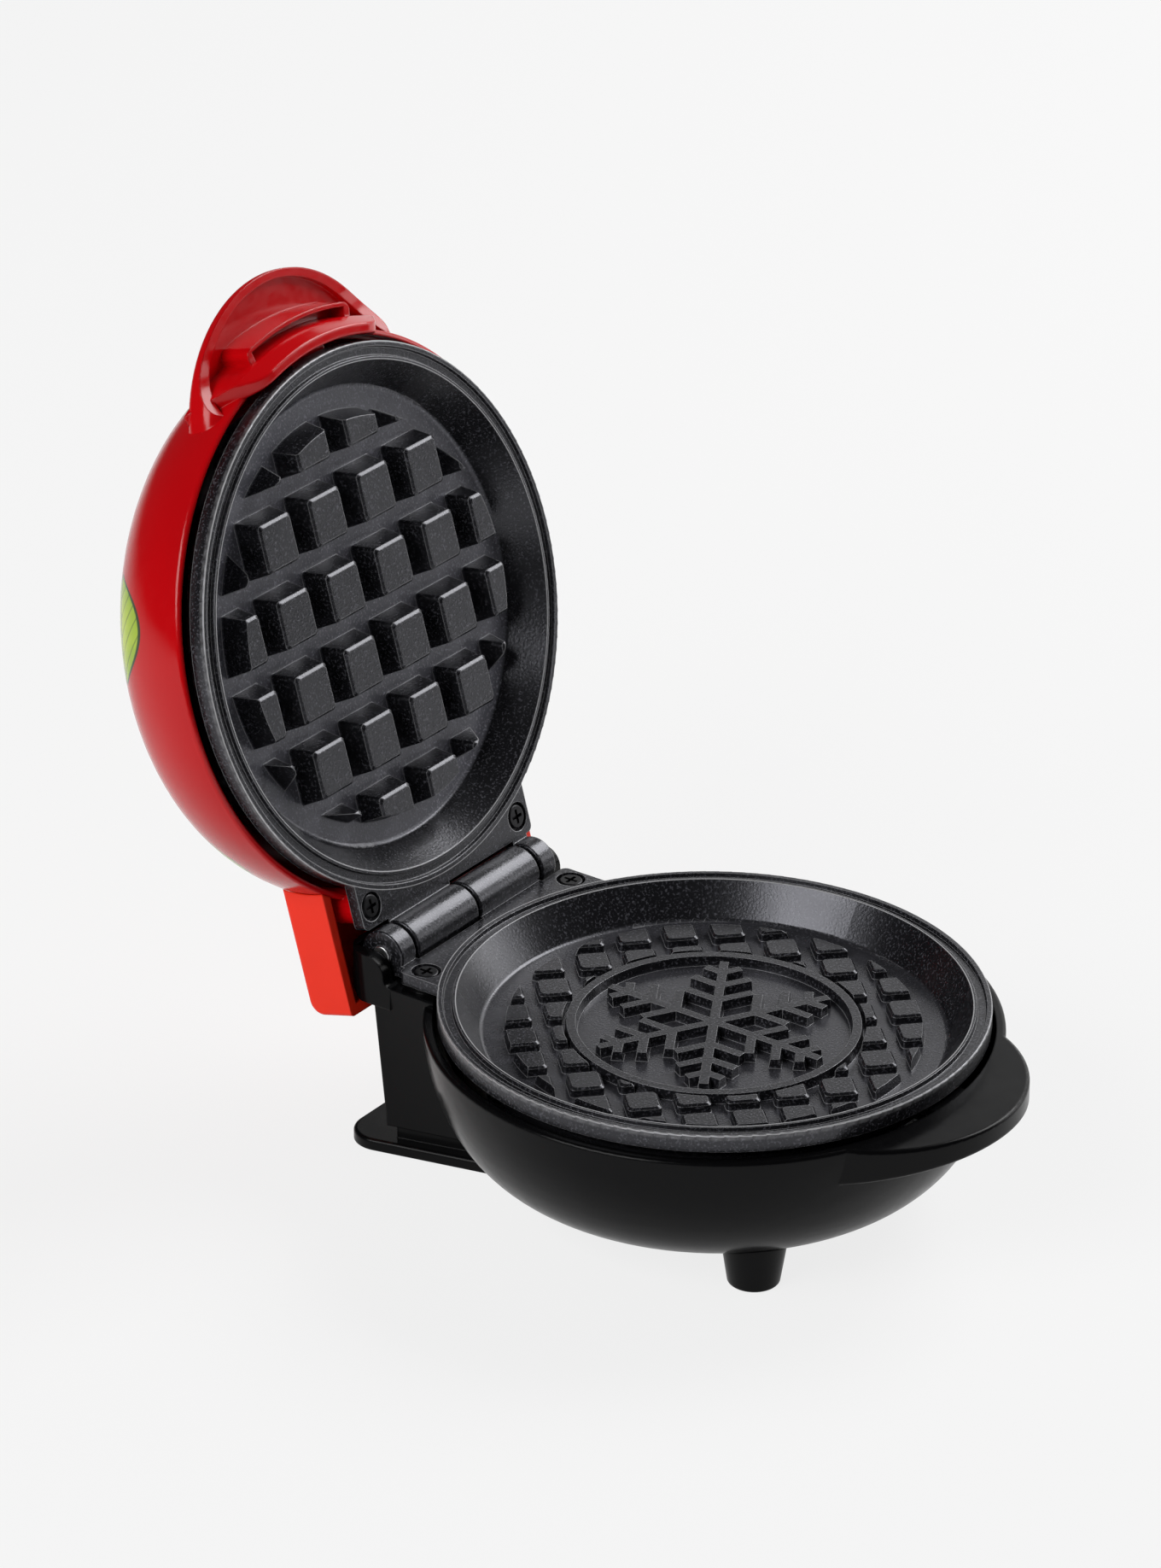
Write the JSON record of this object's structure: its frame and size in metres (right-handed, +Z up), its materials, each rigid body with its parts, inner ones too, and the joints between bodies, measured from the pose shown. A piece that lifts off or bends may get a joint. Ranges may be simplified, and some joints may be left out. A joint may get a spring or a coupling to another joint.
{
  "type": "mini waffle maker",
  "caption": "Small round waffle maker with a domed red lid on a rear hinge, a black base, dark patterned non-stick plates and grips at the front.",
  "frame": {"origin": "on the table, straight under the middle of the hinge pin, at the underside of the rear foot", "axes": "+Z up, -Y towards the front grips, +X along the hinge pin to the right seen from the front"},
  "size_m": [0.1282, 0.2165, 0.1876],
  "materials": {
    "lid_plastic": "glossy deep red moulding",
    "cover_plastic": "glossy bright red moulding",
    "base_plastic": "glossy black moulding",
    "nonstick": "dark speckled non-stick coating on cast aluminium",
    "steel": "zinc-plated",
    "black_steel": "blackened",
    "foot_rubber": "matte",
    "sheet": "bright pressed sheet",
    "heater_sheath": "dull sheath",
    "black_matte": "matte",
    "white_matte": "matte",
    "brown_insulation": "matte insulation",
    "blue_insulation": "matte insulation",
    "lens_plastic": "translucent amber",
    "lamp_glass": "clear"
  },
  "bodies": {
    "base": {"base_shell": "base_plastic", "left_foot": "foot_rubber", "right_foot": "foot_rubber", "foot_screws": "steel", "rear_foot": "base_plastic", "rear_foot_screws": "steel", "lower_plate": "nonstick", "lower_plate_screws": "black_steel", "lower_heater": "heater_sheath", "lower_heater_clamp": "sheet", "lower_clamp_screws": "steel", "lower_heat_shield": "sheet", "lower_shield_screws": "steel", "thermostat": "black_matte", "thermostat_clip": "steel", "thermostat_clip_screws": "steel", "thermal_fuse": "white_matte", "fuse_clip": "steel", "terminal_block": "white_matte", "live_lead": "brown_insulation", "neutral_lead": "blue_insulation", "cord_gland": "black_matte", "hinge_pin": "steel"},
    "lid": {"lid_shell": "lid_plastic", "hinge_cover": "cover_plastic", "upper_plate": "nonstick", "upper_plate_screws": "black_steel", "upper_heater": "heater_sheath", "upper_heater_clamp": "sheet", "upper_clamp_screws": "steel", "upper_heat_shield": "sheet", "upper_shield_screws": "steel", "indicator_lens": "lens_plastic", "indicator_lamp": "lamp_glass"}
  },
  "joints": [
    {"name": "lid_hinge", "type": "hinge", "parent": "base", "child": "lid", "pos_m": [0, 0, 0.04765], "axis": [1, 0, 0], "range_deg": [0, 105.8]}
  ]
}
